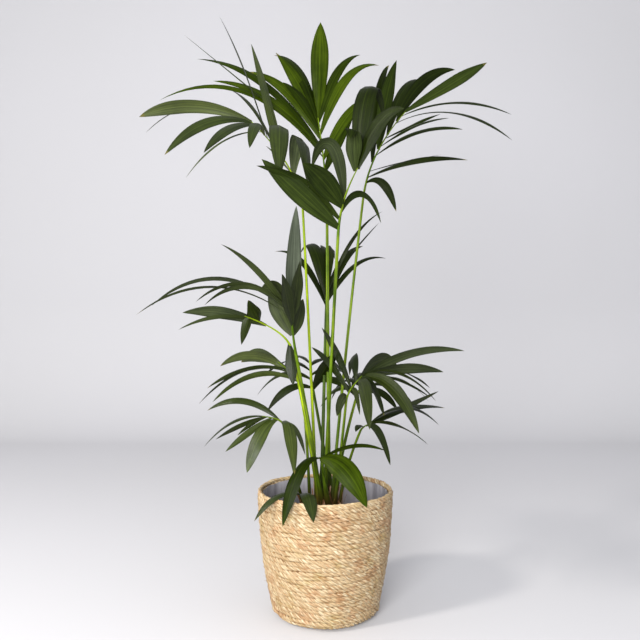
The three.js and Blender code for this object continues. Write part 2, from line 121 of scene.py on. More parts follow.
# Fronds. foot is where the stalk leaves its stem, collar where the leaflets begin, tip the end of the
# rib. rise is how upright the stalk starts, arch how far the rib keeps the stalk's direction, and face
# the compass way the frond leans (0 is +X, 90 is +Y). Each side lists its leaflets from collar to tip:
# at on the rib, open away from it, lift out of the blade, reach and broad in mm, sag by weight, full for
# the share of its length where it is broadest, and turn about that length, with the angles in degrees.
# A young leaflet is still a closed spear.
FRONDS = {
    "crown_back": {
        "stem": "stem_back", "foot": [8, 26], "collar": [4, 52, 798], "tip": [-15, 80, 1007], "rise": 0.62,
        "arch": 0.4, "face": 90,
        "left": {
            "at": [0.63, 0.68, 0.71, 0.74, 0.8, 0.88, 0.92, 0.96], "open": [31, 30, 26, 47, 20, 22, 16, 8],
            "lift": [17, 14, 9, 14, 14, 40, 27, 45], "reach": [398, 285, 350, 362, 225, 128, 187, 197],
            "sag": [1.15, 0.8, 0.8, 0, 0.8, 0.7, 0.5, 0.95], "broad": [14, 22, 20, 10, 25, 26, 28, 28],
            "turn": [15, 10, 15, 50, -5, -10, -10, -10],
        },
        "right": {
            "at": [0.48, 0.61, 0.85, 0.96, 1], "open": [25, 27, 24, 22, 10], "lift": [-5, 0, 12, 10, 12],
            "reach": [158, 195, 225, 198, 220], "sag": [0.35, 0.8, 1, 0.9, 0], "broad": [24, 24, 22, 22, 39],
            "full": [0.5, 0.5, 0.5, 0.5, 0.63], "turn": [-5, -5, 0, -5, 5],
        },
    },
    "crown_front": {
        "stem": "stem_front", "foot": [-2, -14], "collar": [24, -70, 745], "tip": [57, -150, 852],
        "rise": 0.45, "arch": 0.45, "face": -90,
        "left": {
            "at": [0.32, 0.98, 1], "open": [20, 61, 46], "lift": [55, 97, 85], "reach": [130, 240, 140],
            "sag": [2.3, 1.4, 1], "broad": [18, 42, 30], "turn": [-30, 40, 45],
        },
        "right": {
            "at": [0.08, 0.22, 0.41, 0.55, 0.95], "open": [54, 47, 43, 44, 56],
            "lift": [-15, -2, -22, 65, 75], "reach": [194, 193, 140, 170, 100],
            "sag": [0, 0.7, 0.4, 1.5, 1.3], "broad": [38, 28, 42, 24, 38], "turn": [-5, -25, 0, 50, 20],
        },
    },
    "crown_right": {
        "stem": "stem_right", "foot": [12, -4], "collar": [77, 25, 828], "tip": [167, 60, 1014],
        "rise": 0.42, "arch": 0.45, "face": 15,
        "left": {
            "at": [0.4, 0.55, 0.72, 0.88, 1], "open": [18, 20, 19, 14, 18], "lift": [80, 87, 80, 102, -120],
            "reach": [240, 202, 190, 190, 212], "sag": [0.9, 0.6, 1, 0.9, 0], "broad": [24, 32, 22, 26, 26],
            "full": [0.5, 0.5, 0.5, 0.5, 0.65], "turn": [20, 10, -25, -5, 15],
        },
        "right": {
            "at": [0.17, 0.23, 0.3, 0.48, 0.58, 0.68, 0.86, 0.95], "open": [59, 57, 56, 45, 45, 46, 56, 39],
            "lift": [-22, -43, -62, -24, -21, -33, -21, -34],
            "reach": [118, 211, 149, 195, 158, 122, 273, 230], "sag": [3, 0.6, 0.2, 0.8, 0.6, 0.2, 1.2, 0.9],
            "broad": [17, 16, 12, 16, 16, 16, 12, 12], "turn": [0, -20, -60, -10, -15, -20, -25, -10],
        },
    },
    "crown_left": {
        "stem": "stem_middle", "foot": [-17, 8], "collar": [-44, -15, 798], "tip": [-143, -40, 965],
        "rise": 0.45, "arch": 0.4, "face": 185,
        "left": {
            "at": [0.41, 0.67, 0.86, 0.9, 0.97, 0.99], "open": [32, 39, 43, 42, 57, 31],
            "lift": [68, 64, 28, -90, -38, -60], "reach": [204, 190, 123, 183, 157, 202],
            "sag": [2.4, 2.9, 2.5, 1.6, 1.2, 1.5], "broad": [36, 38, 22, 12, 20, 22],
            "turn": [-5, 0, 0, 65, 10, 5],
        },
        "right": {
            "at": [0.43, 0.63, 0.74, 0.82, 0.99, 1], "open": [43, 35, 35, 33, 21, 18],
            "lift": [0, 43, 33, 54, -5, -55], "reach": [127, 292, 230, 308, 254, 228],
            "sag": [0.3, 0.2, 0.7, 0.4, 1.3, 0.85], "broad": [16, 24, 14, 10, 12, 28],
            "full": [0.5, 0.35, 0.5, 0.4, 0.5, 0.65], "turn": [0, -10, -10, 30, -25, 0],
        },
    },
    "middle_back": {
        "stem": "stem_middle", "foot": [-8, 22], "collar": [2, 60, 597], "tip": [9, 110, 692], "rise": 0.5,
        "arch": 0.45, "face": 90,
        "left": {
            "at": [0.13, 0.26, 0.48], "open": [21, 10, 10], "lift": [5, 14, 60], "reach": [187, 212, 176],
            "sag": [1, 1.2, 1.2], "broad": [16, 30, 22], "turn": [25, -15, -35],
        },
        "right": {
            "at": [0.17, 0.26, 0.37, 0.48, 0.6], "open": [23, 14, 28, 11, 33], "lift": [10, 20, 55, 95, 22],
            "reach": [183, 165, 215, 170, 185], "sag": [1, 0.9, 0.8, 1.3, 0.2], "broad": [14, 22, 10, 20, 8],
            "turn": [-20, 0, 20, -50, -20],
        },
    },
    "middle_left": {
        "stem": "stem_front", "foot": [-12, -16], "collar": [-63, -95, 524], "tip": [-143, -170, 587],
        "rise": 0.4, "arch": 0.3, "face": 195,
        "left": {
            "at": [0.18, 0.72, 0.95], "open": [135, 29, 91], "lift": [-45, -178, -95],
            "reach": [78, 162, 50], "sag": [0.5, 0.9, 0.6], "broad": [22, 12, 18], "full": [0.5, 0.5, 0.2],
            "turn": [60, -45, 10],
        },
        "right": {
            "at": [0.82, 0.72], "open": [44, 39], "lift": [67, 1], "reach": [44, 156], "sag": [0, 0.55],
            "broad": [38, 26], "full": [0.25, 0.5], "turn": [0, 50],
        },
    },
    "middle_front": {
        "stem": "stem_front", "foot": [-6, -26], "collar": [-54, -130, 516], "tip": [-62, -170, 606],
        "rise": 0.45, "arch": 0.4, "face": -90,
        "left": {
            "at": [0.46, 0.78, 1], "open": [56, 17, 39], "lift": [71, 48, 84], "reach": [78, 104, 187],
            "sag": 0, "broad": [26, 30, 30], "full": [0.5, 0.45, 0.33], "turn": [-30, 0, -60],
            "young": [0, 0, 1],
        },
        "right": {
            "at": [0.46, 0.65, 0.8, 0.83, 0.86, 0.88, 0.9, 0.86], "open": [39, 19, 58, 41, 58, 45, 47, 38],
            "lift": [56, -80, 27, 64, 37, 29, 31, 36], "reach": [105, 120, 318, 96, 315, 195, 180, 178],
            "sag": [0, 0, 1.2, 1.2, 1.25, 1.35, 1.4, 0.6], "broad": [42, 30, 8, 36, 12, 13, 13, 16],
            "full": [0.5, 0.5, 0.5, 0.5, 0.4, 0.45, 0.45, 0.3], "turn": [35, -25, -30, 30, -25, -15, -15, 0],
        },
    },
    "low_left": {
        "stem": "stem_left", "foot": [-30, -4], "collar": [-44, -40, 444], "tip": [-91, -60, 500],
        "rise": 0.3, "arch": 0.3, "face": 180,
        "left": {
            "at": [0.29, 0.59, 0.75], "open": [27, 19, 30], "lift": [-84, -63, -111],
            "reach": [190, 210, 165], "sag": [1.4, 1.4, 0.95], "broad": [13, 10, 12],
            "turn": [-15, -60, -15],
        },
        "right": {
            "at": [0.66, 0.86], "open": [27, 45], "lift": [-5, 3], "reach": [163, 122], "sag": [1.2, 1.1],
            "broad": [22, 30], "turn": [45, 45],
        },
    },
    "low_front_left": {
        "stem": "stem_left", "foot": [-42, -14], "collar": [-78, -100, 385], "tip": [-117, -120, 404],
        "rise": 0.6, "arch": 0.3, "face": 190,
        "left": {
            "at": [0.07, 0.1, 0.53, 0.71, 0.84, 0.84], "open": [116, 42, 31, 40, 27, 24],
            "lift": [120, 32, -46, -85, -117, -82], "reach": [93, 141, 120, 106, 104, 67],
            "sag": [3.2, 3.2, 3, 0.3, 0.4, 0.6], "broad": [12, 24, 26, 13, 12, 9],
            "turn": [-15, 35, 20, 0, -5, -30],
        },
        "right": {
            "at": [0.38, 0.72], "open": [34, 23], "lift": [24, 2], "reach": [155, 145], "sag": [1.2, 1.5],
            "broad": [16, 10], "turn": [-35, -25],
        },
    },
    "basket_front": {
        "stem": "stem_front", "foot": [6, -27], "collar": [-7, -60, 308], "tip": [-12, -75, 320],
        "rise": 0.6, "arch": 0.3, "face": -90,
        "left": {
            "at": [0.7, 0.85], "open": [94, 76], "lift": [33, -4], "reach": [136, 138], "sag": [0.95, 2.4],
            "broad": [16, 46], "full": [0.5, 0.38], "turn": [0, 70],
        },
        "right": {
            "at": 0.9, "open": 26, "lift": 4, "reach": 163, "sag": 4, "broad": 26, "turn": -35,
        },
    },
    "basket_left": {
        "stem": "stem_left", "foot": [-29, -26], "collar": [-39, -70, 243], "tip": [-43, -78, 249],
        "rise": 0.6, "arch": 0.3, "face": -90,
        "left": {
            "at": 1, "open": 38, "lift": 3, "reach": 104, "sag": 1.9, "broad": 28, "turn": 0,
        },
        "right": {
            "at": 1, "open": 36, "lift": 21, "reach": 114, "sag": 1.9, "broad": 16, "turn": -40,
        },
    },
    "right_front": {
        "stem": "stem_right", "foot": [18, -14], "collar": [39, -60, 423], "tip": [67, -110, 477],
        "rise": 0.55, "arch": 0.3, "face": -20,
        "left": {
            "at": [0.37, 0.54, 0.75, 0.9, 0.97, 1], "open": [77, 82, 75, 81, 50, 67],
            "lift": [68, 62, 54, 22, -2, -16], "reach": [130, 155, 132, 140, 203, 163],
            "sag": [0.5, 0.4, 1.75, 1.2, 0.72, 0.55], "broad": [16, 14, 22, 30, 20, 28],
            "full": [0.5, 0.5, 0.5, 0.5, 0.38, 0.5], "turn": [10, 40, 20, -45, -45, -25],
        },
        "right": {
            "at": [0.17, 0.54, 0.88, 0.95, 0.98, 1, 1], "open": [44, 34, 33, 23, 46, 42, 58],
            "lift": [38, -28, -17, -117, -74, -159, -141], "reach": [55, 82, 157, 172, 95, 154, 134],
            "sag": [3.6, 1.9, 1.6, 2.2, 1.7, 1.5, 0.8], "broad": [20, 14, 28, 26, 22, 13, 11],
            "turn": [55, 0, -5, -45, 5, -10, 0],
        },
    },
    "right_low": {
        "stem": "stem_right", "foot": [28, 3], "collar": [67, -40, 364], "tip": [83, -60, 381], "rise": 0.3,
        "arch": 0.3, "face": 0,
        "left": {
            "at": [0.76, 1, 1], "open": [67, 56, 47], "lift": [-18, -4, 18], "reach": [173, 160, 155],
            "sag": [0, 0.7, 1.5], "broad": [20, 22, 18], "turn": [-35, 30, 0],
        },
        "right": {
            "at": [0.53, 0.86, 1], "open": [52, 19, 29], "lift": [62, -25, -134], "reach": [41, 112, 125],
            "sag": [1.5, 2.1, 0.95], "broad": [14, 20, 22], "turn": [-20, 25, 0],
        },
    },
    "back_low": {
        "stem": "stem_back", "foot": [12, 36], "collar": [-24, 76, 428], "tip": [-34, 150, 486], "rise": 0.5,
        "arch": 0.3, "face": 100,
        "left": {
            "at": [0.15, 0.45, 0.75, 1], "open": [62, 50, 36, 20], "lift": [10, 15, 15, 10],
            "reach": [120, 150, 160, 150], "sag": [2, 1.8, 1.4, 1.2], "broad": [18, 22, 22, 24], "turn": 0,
        },
        "right": {
            "at": [0.1, 0.3, 0.6, 0.9], "open": [70, 66, 48, 30], "lift": [75, 20, 15, 10],
            "reach": [135, 120, 160, 165], "sag": [0.3, 1.8, 1.6, 1.2], "broad": [26, 20, 22, 24],
            "turn": [60, 0, 0, 0],
        },
    },
    "back_right": {
        "stem": "stem_back", "foot": [21, 31], "collar": [68, 98, 418], "tip": [112, 158, 462], "rise": 0.35,
        "arch": 0.3, "face": 50,
        "left": {
            "at": [0.15, 0.4, 0.65, 1], "open": [64, 52, 40, 22], "lift": [20, 15, 15, 10],
            "reach": [130, 165, 170, 160], "sag": [1.8, 1.6, 1.4, 1.2], "broad": [18, 22, 22, 24], "turn": 0,
        },
        "right": {
            "at": [0.1, 0.35, 0.6, 0.9], "open": [60, 50, 40, 26], "lift": [15, 10, 10, 5],
            "reach": [110, 140, 165, 165], "sag": [1.8, 1.8, 1.6, 1.2], "broad": [18, 20, 22, 24], "turn": 0,
        },
    },
}


def linear(code):
    """A hex sRGB colour as linear red, green, blue and alpha."""
    parts = [int(code[i : i + 2], 16) / 255 for i in (1, 3, 5)]
    return tuple(p / 12.92 if p <= 0.04045 else ((p + 0.055) / 1.055) ** 2.4 for p in parts) + (1.0,)


def add(tree, kind, inputs=None, stops=None, out=0, **settings):
    """Adds one shader node, each input set or fed by an output, and gives back the output named by out."""
    node = tree.nodes.new(kind)
    for key, value in settings.items():
        setattr(node, key, value)
    for key, value in (inputs or {}).items():
        if isinstance(value, bpy.types.NodeSocket):
            tree.links.new(value, node.inputs[key])
        else:
            node.inputs[key].default_value = value
    if stops:
        spots = node.color_ramp.elements
        spots.remove(spots[1])
        spots[0].position = stops[0][0]
        spots[0].color = linear(stops[0][1])
        for place, code in stops[1:]:
            spots.new(place).color = linear(code)
    return node.outputs[out]


def start_material(name, roughness, gloss):
    """A named material with its surface shader, its roughness and how strongly it reflects."""
    material = bpy.data.materials.new(name)
    material.use_nodes = True
    tree = material.node_tree
    skin = tree.nodes["Principled BSDF"]
    skin.inputs["Roughness"].default_value = roughness
    skin.inputs["Specular IOR Level"].default_value = gloss
    return material, tree, skin


def finish_material(tree, skin, colour, height, strength, depth):
    """Gives the surface its colour and, where it has a depth, a relief of so many metres."""
    tree.links.new(colour, skin.inputs["Base Color"])
    if not depth:
        return
    relief = add(tree, "ShaderNodeBump", {"Height": height, "Strength": strength, "Distance": depth})
    tree.links.new(relief, skin.inputs["Normal"])


def pattern(tree, place, scale, detail, coarse, stops):
    """Uneven spots or lines, drawn at a scale for each way of the place: their colour and their height."""
    drawn = add(tree, "ShaderNodeMapping", {"Vector": place, "Scale": scale})
    inputs = {"Vector": drawn, "Scale": 1.0, "Detail": detail, "Roughness": coarse}
    height = add(tree, "ShaderNodeTexNoise", inputs)
    return add(tree, "ShaderNodeValToRGB", {0: height}, stops=stops), height


def grained_material(name, roughness, gloss, scale, detail, coarse, stops, strength, depth):
    """A dull stuff in one pattern, its scale in grains to the metre each way."""
    material, tree, skin = start_material(name, roughness, gloss)
    place = add(tree, "ShaderNodeTexCoord", out="Object")
    colour, grain = pattern(tree, place, scale, detail, coarse, stops)
    finish_material(tree, skin, colour, grain, strength, depth)
    return material


def sheath_material(name, *browns):
    """Old leaf sheath: papery fibre, split lengthways, with paler torn strands."""
    shades = list(zip((0.3, 0.48, 0.62, 0.75), browns))
    return grained_material(name, 0.8, 0.3, (520, 520, 28), 4, 0.65, shades, 0.7, 0.0015)


def seagrass_material(name, browns, fold_shade_strength):
    """Dried seagrass, hand twisted: flat straw blades with cream backs, folds darkened partly by brown dirt
    and partly by painted shade, and a dull gloss.
    """
    material, tree, skin = start_material(name, 0.62, 0.3)
    place = add(tree, "ShaderNodeTexCoord", out="Object")
    track = add(tree, "ShaderNodeUVMap")
    # Across the track is once round the rope; along it, one unit is a whole twist of 32 mm.
    shades = list(zip((0.26, 0.4, 0.52, 0.64), browns))
    body, _ = pattern(tree, track, (9, 0.6, 1), 2.0, 0.5, shades)
    dark_lines = [(0.28, "#6a4a2c"), (0.38, "#ccb898"), (0.48, "#ffffff"), (0.6, "#ffffff")]
    lines, fibres = pattern(tree, track, (24, 1.3, 1), 3.0, 0.6, dark_lines)
    lined = add(tree, "ShaderNodeMix", {0: 0.75, 6: body, 7: lines}, **MULTIPLIED)
    # Rusty, pale and olive lots of grass, each a few centimetres of rope.
    lots = [(0.28, "#a8805a"), (0.37, "#f2ccb4"), (0.44, "#ffffff"), (0.56, "#ffffff"), (0.68, "#dcd8a4")]
    tint, _ = pattern(tree, place, (34, 34, 34), 3.0, 0.5, lots)
    tinted = add(tree, "ShaderNodeMix", {0: 0.45, 6: lined, 7: tint}, **MULTIPLIED)
    # The folds between the three strands run at each third of the way round; they are darkened partly by
    # brown dirt and partly by painted shade.
    across = add(tree, "ShaderNodeSeparateXYZ", {0: track}, out="X")
    thirds = add(tree, "ShaderNodeMath", {0: across, 1: 3.0}, operation="MULTIPLY")
    within = add(tree, "ShaderNodeMath", {0: thirds, 1: 0.5}, operation="PINGPONG")
    fold = add(tree, "ShaderNodeMapRange", {0: within, 1: 0.02, 2: 0.1, 3: fold_shade_strength, 4: 0.0})
    fold_shaded = add(tree, "ShaderNodeMix", {0: fold, 6: tinted, 7: linear("#5e4226")}, **MIXED)
    finish_material(tree, skin, fold_shaded, fibres, 0.5, 0.0008)
    return material


def film_material():
    """Blown polythene liner: thin milky grey film with a soft sheen and fine stretch lines."""
    material, tree, skin = start_material("milky_polythene_film", 0.34, 0.4)
    place = add(tree, "ShaderNodeTexCoord", out="Object")
    greys = [(0.3, "#7a787e"), (0.5, "#908e94"), (0.7, "#a8a6ac")]
    cloud, _ = pattern(tree, place, (70, 70, 14), 4.0, 0.6, greys)
    # Painted shade: the film darkens towards the bottom, where it goes down beside the soil.
    level = add(tree, "ShaderNodeSeparateXYZ", {0: place}, out="Z")
    painted_shade_low = add(tree, "ShaderNodeMapRange", {0: level, 1: 0.19, 2: 0.235, 3: 0.45, 4: 0.0})
    shaded = add(tree, "ShaderNodeMix", {0: painted_shade_low, 6: cloud, 7: linear("#3c393a")}, **MIXED)
    stretch = add(tree, "ShaderNodeMapping", {"Vector": place, "Scale": (240, 240, 40)})
    lines = add(tree, "ShaderNodeTexNoise", {"Vector": stretch, "Scale": 1.0})
    finish_material(tree, skin, shaded, lines, 0.3, 0.0006)
    return material


def petiole_material(name, fresh, deep, low, foot):
    """Living leaf stalk: waxy green skin over long fibres, darker low down from its older green and from
    painted shade among the stalks, and brown at its foot.
    """
    material, tree, skin = start_material(name, 0.4, 0.07)
    place = add(tree, "ShaderNodeTexCoord", out="Object")
    track = add(tree, "ShaderNodeUVMap")
    waxy, _ = pattern(tree, place, (18, 18, 18), 3.0, 0.5, [(0.36, deep), (0.62, fresh)])
    lines, fibres = pattern(tree, track, (9, 1.5, 1), 3.0, 0.6, [(0.36, "#42501a"), (0.6, "#ffffff")])
    # Darker below 0.46 m: partly the older green of the base and partly painted shade among the crowded
    # stalks.
    level = add(tree, "ShaderNodeSeparateXYZ", {0: place}, out="Z")
    height = add(tree, "ShaderNodeMapRange", {0: level, 1: 0.25, 2: 0.46})
    aged_and_shaded = add(tree, "ShaderNodeMix", {0: height, 6: linear(low), 7: waxy}, **MIXED)
    lined = add(tree, "ShaderNodeMix", {0: 0.75, 6: aged_and_shaded, 7: lines}, **MULTIPLIED)
    # The brown foot ends in a ragged edge, a little higher along some fibres.
    ragged = add(tree, "ShaderNodeMath", {0: fibres, 1: 0.05}, operation="MULTIPLY")
    edge = add(tree, "ShaderNodeMath", {0: level, 1: ragged}, operation="SUBTRACT")
    above = add(tree, "ShaderNodeMapRange", {0: edge, 1: 0.195, 2: 0.235})
    whole = add(tree, "ShaderNodeMix", {0: above, 6: linear(foot), 7: lined}, **MIXED)
    finish_material(tree, skin, whole, fibres, 0.35, 0.0006)
    return material


def leaf_material(name, deep, fresh, vein, roughness, gloss):
    """Palm leaflet: leathery skin with a satin gloss, lengthways veins and slow changes of green."""
    material, tree, skin = start_material(name, roughness, gloss)
    place = add(tree, "ShaderNodeTexCoord", out="Object")
    track = add(tree, "ShaderNodeUVMap")
    tone, _ = pattern(tree, place, (13, 13, 13), 4.0, 0.6, [(0.3, deep), (0.7, fresh)])
    lines, veins = pattern(tree, track, (10, 0.8, 1), 4.0, 0.7, [(0.38, "#4c5a28"), (0.58, "#ffffff")])
    lined = add(tree, "ShaderNodeMix", {0: 0.7, 6: tone, 7: lines}, **MULTIPLIED)
    # The midrib is where the track is halfway across.
    across = add(tree, "ShaderNodeSeparateXYZ", {0: track}, out="X")
    off = add(tree, "ShaderNodeMath", {0: across, 1: 0.5}, operation="SUBTRACT")
    aside = add(tree, "ShaderNodeMath", {0: off}, operation="ABSOLUTE")
    midrib = add(tree, "ShaderNodeMapRange", {0: aside, 1: 0.008, 2: 0.03, 3: 0.28, 4: 0.0})
    whole = add(tree, "ShaderNodeMix", {0: midrib, 6: lined, 7: linear(vein)}, **MIXED)
    finish_material(tree, skin, whole, veins, 0.6, 0.0009)
    return material


def leaf_looks(kind, gloss, *greens):
    """The finishes of one set of fronds, by the light, shade or sheen painted into its greens: two of its
    greens above and two below.
    """
    parts = (("deep", 0.36), ("fresh", 0.38), ("underside", 0.5), ("dull_underside", 0.52))
    return [
        leaf_material(f"{kind}_leaf_{part}", *colours, roughness, gloss)
        for (part, roughness), colours in zip(parts, greens)
    ]


def clear():
    bpy.ops.object.select_all(action="DESELECT")


def settle():
    """Applies the place of the active object, so its mesh holds its true position."""
    bpy.ops.object.transform_apply(location=True, rotation=True, scale=True)


def apply_all(piece):
    """Applies the piece's modifiers and its place."""
    clear()
    bpy.context.view_layer.objects.active = piece
    piece.select_set(True)
    for modifier in list(piece.modifiers):
        bpy.ops.object.modifier_apply(modifier=modifier.name)
    settle()


def choose(kind, parts, wanted, alone=True):
    """Goes to edit mode with the wanted vertices, edges or faces chosen: alone, or on top of the rest."""
    bpy.ops.object.mode_set(mode="EDIT")
    bpy.ops.mesh.select_mode(type=kind)
    if alone:
        bpy.ops.mesh.select_all(action="DESELECT")
    bpy.ops.object.mode_set(mode="OBJECT")
    for part in parts:
        part.select = wanted(part)
    bpy.ops.object.mode_set(mode="EDIT")


def start_disc(sides, radius, low, thick, at=(0, 0), walls=1):
    """A disc in millimetres, its underside at a height, in edit mode with its top chosen.

    With two walls its edges stay chosen too, and draw up a second wall close beside the first.
    """
    clear()
    middle = Vector((*at, low + thick / 2)) * MM
    bpy.ops.mesh.primitive_cylinder_add(
        vertices=sides, radius=radius * MM, depth=thick * MM, location=middle
    )
    settle()
    disc = bpy.context.object
    choose("FACE", disc.data.polygons, lambda face: face.normal.z > 0.9, alone=walls == 1)
    return disc


def draw_up(rise, grow, at=(0, 0)):
    """Draws the chosen face up by so many millimetres and resizes it about its axis."""
    bpy.ops.mesh.extrude_region_move(TRANSFORM_OT_translate={"value": (0, 0, rise * MM)})
    bpy.ops.transform.resize(value=(grow, grow, 1), center_override=(at[0] * MM, at[1] * MM, 0))


def draw_through(levels, radius_at):
    """Draws the chosen face from level to level, as wide at each as radius_at says."""
    for low, high in zip(levels, levels[1:]):
        draw_up(high - low, radius_at(high) / radius_at(low))


def smooth(piece, sharp):
    """Smooth shading, but for the edges that turn by more than so many degrees."""
    piece.data.shade_smooth()
    piece.data.set_sharp_from_angle(angle=math.radians(sharp))


def seat(piece, name, materials, slot, *nodes):
    """Names a finished piece, gives it its materials, and lets it stand for its solids."""
    piece.name = name
    piece.data.name = name
    for material in materials:
        piece.data.materials.append(material)
    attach(piece, "root")
    if nodes:
        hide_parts(*nodes)


def from_faces(points, faces, sharp, marks=None, tracks=None):
    """A mesh object from joined points and faces, with a mark for each face and a track for each corner."""
    mesh = bpy.data.meshes.new("made")
    mesh.from_pydata([p * MM for p in points], [], faces)
    if marks:
        mesh.polygons.foreach_set("material_index", marks)
    if tracks:
        layer = mesh.uv_layers.new(name="track")
        layer.data.foreach_set("uv", [value for track in tracks for value in track])
    piece = bpy.data.objects.new("made", mesh)
    smooth(piece, sharp)
    bpy.context.scene.collection.objects.link(piece)
    return piece


def part_way(value, start, end):
    """How far a value is on its way from start to end, from 0 to 1."""
    return min(max((value - start) / (end - start), 0), 1)


def away(angle):
    """The level direction away from the middle at an angle round it."""
    return Vector((math.cos(angle), math.sin(angle), 0))


def sideways(outward):
    """The level direction square to another, to its left."""
    return Vector((-outward.y, outward.x, 0))


def basket_radius(z):
    """Outer radius of the basket's wall at a height, over its rounded foot, in millimetres."""
    share = part_way(z, 0, BASKET_HEIGHT)
    straight = BASKET_FOOT_RADIUS + (BASKET_TOP_RADIUS - BASKET_FOOT_RADIUS) * share
    below = min(max(FOOT_ROUND - z, 0), FOOT_ROUND)
    inset = FOOT_ROUND - math.sqrt(FOOT_ROUND**2 - below**2)
    return straight + BASKET_BELLY * math.sin(math.pi * share) - inset


def coil_place(turn):
    """Radius, height and thickness share of the rope after so many turns, in millimetres."""
    contact = basket_radius(0)
    if turn < FLOOR_TURNS:
        return ROPE_RADIUS + (contact - ROPE_RADIUS) * turn / FLOOR_TURNS, ROPE_RADIUS, 1
    corner = (turn - FLOOR_TURNS) / CORNER_TURNS
    if corner < 1:
        # Round the foot, at the rope's own half thickness inside it.
        angle = math.pi / 2 * corner
        inner = FOOT_ROUND - ROPE_RADIUS
        flare = basket_radius(FOOT_ROUND) - BASKET_FOOT_RADIUS
        radius = contact + inner * math.sin(angle) + flare * corner
        return radius, FOOT_ROUND - inner * math.cos(angle), 1
    climbed = turn - FLOOR_TURNS - CORNER_TURNS
    rise = (BASKET_HEIGHT - ROPE_RADIUS - FOOT_ROUND) / (WALL_TURNS - 1)
    share = 1 - END_THINNING * max(turn - (ALL_TURNS - 1), 0)
    high = min(FOOT_ROUND + rise * climbed, BASKET_HEIGHT - ROPE_RADIUS * share)
    return basket_radius(high) - ROPE_RADIUS, high, share


def rope_length():
    """One twist of three-strand rope along +X, from a ring of edges pinched, drawn out and turned."""
    clear()
    bpy.ops.mesh.primitive_circle_add(
        vertices=ROPE_SIDES, radius=ROPE_FULL_RADIUS * MM, fill_type="NOTHING", rotation=(0, math.pi / 2, 0),
        calc_uvs=False,
    )
    settle()
    rope = bpy.context.object
    # Deep folds between the three strands, and a shallow one along the middle of each.
    strand = ROPE_SIDES // 3
    for places, pinch in (((0,), 0.55), ((1, strand - 1), 0.86), ((3,), 0.92)):
        choose("VERT", rope.data.vertices, lambda vertex: vertex.index % strand in places)
        bpy.ops.transform.resize(value=(1, pinch, pinch), center_override=(0, 0, 0))
    bpy.ops.mesh.select_all(action="SELECT")
    ahead = ROPE_LAY / ROPE_STEPS * MM
    for _ in range(ROPE_STEPS):
        bpy.ops.mesh.extrude_region_move(TRANSFORM_OT_translate={"value": (ahead, 0, 0)})
        bpy.ops.transform.rotate(value=-2 * math.pi / ROPE_STEPS, orient_axis="X", center_override=(0, 0, 0))
    bpy.ops.mesh.select_all(action="SELECT")
    bpy.ops.mesh.normals_make_consistent(inside=False)
    bpy.ops.object.mode_set(mode="OBJECT")
    layer = rope.data.uv_layers.new(name="track")
    for face in rope.data.polygons:
        corners = [divmod(rope.data.loops[i].vertex_index, ROPE_SIDES) for i in face.loop_indices]
        around = [side for _, side in corners]
        wraps = max(around) - min(around) > 1
        for i, (step, side) in zip(face.loop_indices, corners):
            side = ROPE_SIDES if wraps and side == 0 else side
            layer.data[i].uv = (side / ROPE_SIDES, step / ROPE_STEPS)
    return rope


def coil_line(first, last):
    """The rope's middle line from one turn of the coil to another, and its length in millimetres."""
    line = bpy.data.curves.new("coil_line", "CURVE")
    line.dimensions = "3D"
    line.twist_mode = "Z_UP"
    spots, shares = [], []
    for step in range(round(first * COIL_STEPS), round(last * COIL_STEPS) + 1):
        turn = step / COIL_STEPS
        radius, high, share = coil_place(turn)
        around = away(2 * math.pi * turn)
        # Laid by hand, the turns stray, but less and less near the ground and the rim.
        calm = part_way(high - ROPE_RADIUS, 0, 16) * part_way(BASKET_HEIGHT - high, 0, 10)
        slack = ROPE_SLACK * noise.noise(around * 3 + UP * turn * 0.8)
        wander = ROPE_WANDER * noise.noise(around * 1.6 + UP * high * 0.014)
        waver = ROPE_WAVER * noise.noise(around * 6 + UP * turn)
        spots.append(around * (radius + slack * calm) + UP * (high + (wander + waver) * calm))
        shares.append(share)
    spline = line.splines.new("POLY")
    spline.points.add(len(spots) - 1)
    for index, (point, spot, share) in enumerate(zip(spline.points, spots, shares)):
        point.co = (*(spot * MM), 1)
        point.radius = share * (1 + ROPE_SWELL * noise.noise(Vector((index * 0.23, first, 9))))
        point.tilt = ROPE_TILT * noise.noise(Vector((index * 0.14, first, 3)))
    guide = bpy.data.objects.new("coil_line", line)
    bpy.context.scene.collection.objects.link(guide)
    return guide, sum((b - a).length for a, b in zip(spots, spots[1:]))


def wound_rope(name, first, last, material):
    """Rope laid along part of the coil, its ends closed."""
    rope = rope_length()
    guide, run = coil_line(first, last)
    row = rope.modifiers.new("row", "ARRAY")
    row.fit_type = "FIXED_COUNT"
    row.count = int(run / ROPE_LAY) + 1
    row.use_relative_offset = False
    row.use_constant_offset = True
    row.constant_offset_displace = (ROPE_LAY * MM, 0, 0)
    row.use_merge_vertices = True
    row.merge_threshold = 0.0001
    row.offset_v = 1.0
    wind = rope.modifiers.new("wind", "CURVE")
    wind.object = guide
    wind.deform_axis = "POS_X"
    uneven = rope.modifiers.new("uneven", "DISPLACE")
    uneven.texture = bpy.data.textures.new("uneven_blades", "CLOUDS")
    uneven.texture.noise_scale = 0.009
    uneven.texture_coords = "LOCAL"
    uneven.strength = 0.0032
    uneven.mid_level = 0.5
    apply_all(rope)
    bpy.data.objects.remove(guide)
    # The coil was beaten flat when it was shaped: what stands proud of the wall is pressed back.
    for vertex in rope.data.vertices:
        out = math.hypot(vertex.co.x, vertex.co.y)
        proud = out - (basket_radius(vertex.co.z / MM) - PRESSED_IN) * MM
        if proud > 0 and vertex.co.z > FOOT_ROUND * MM:
            keep = (out - proud * PRESSED_SHARE) / out
            vertex.co.x *= keep
            vertex.co.y *= keep
        vertex.co.z = max(vertex.co.z, 0)
    choose("VERT", (), None)
    bpy.ops.mesh.select_non_manifold()
    bpy.ops.mesh.fill_holes(sides=0)
    bpy.ops.object.mode_set(mode="OBJECT")
    rope.data.shade_smooth()
    seat(rope, name, [material], "seagrass", "basket")


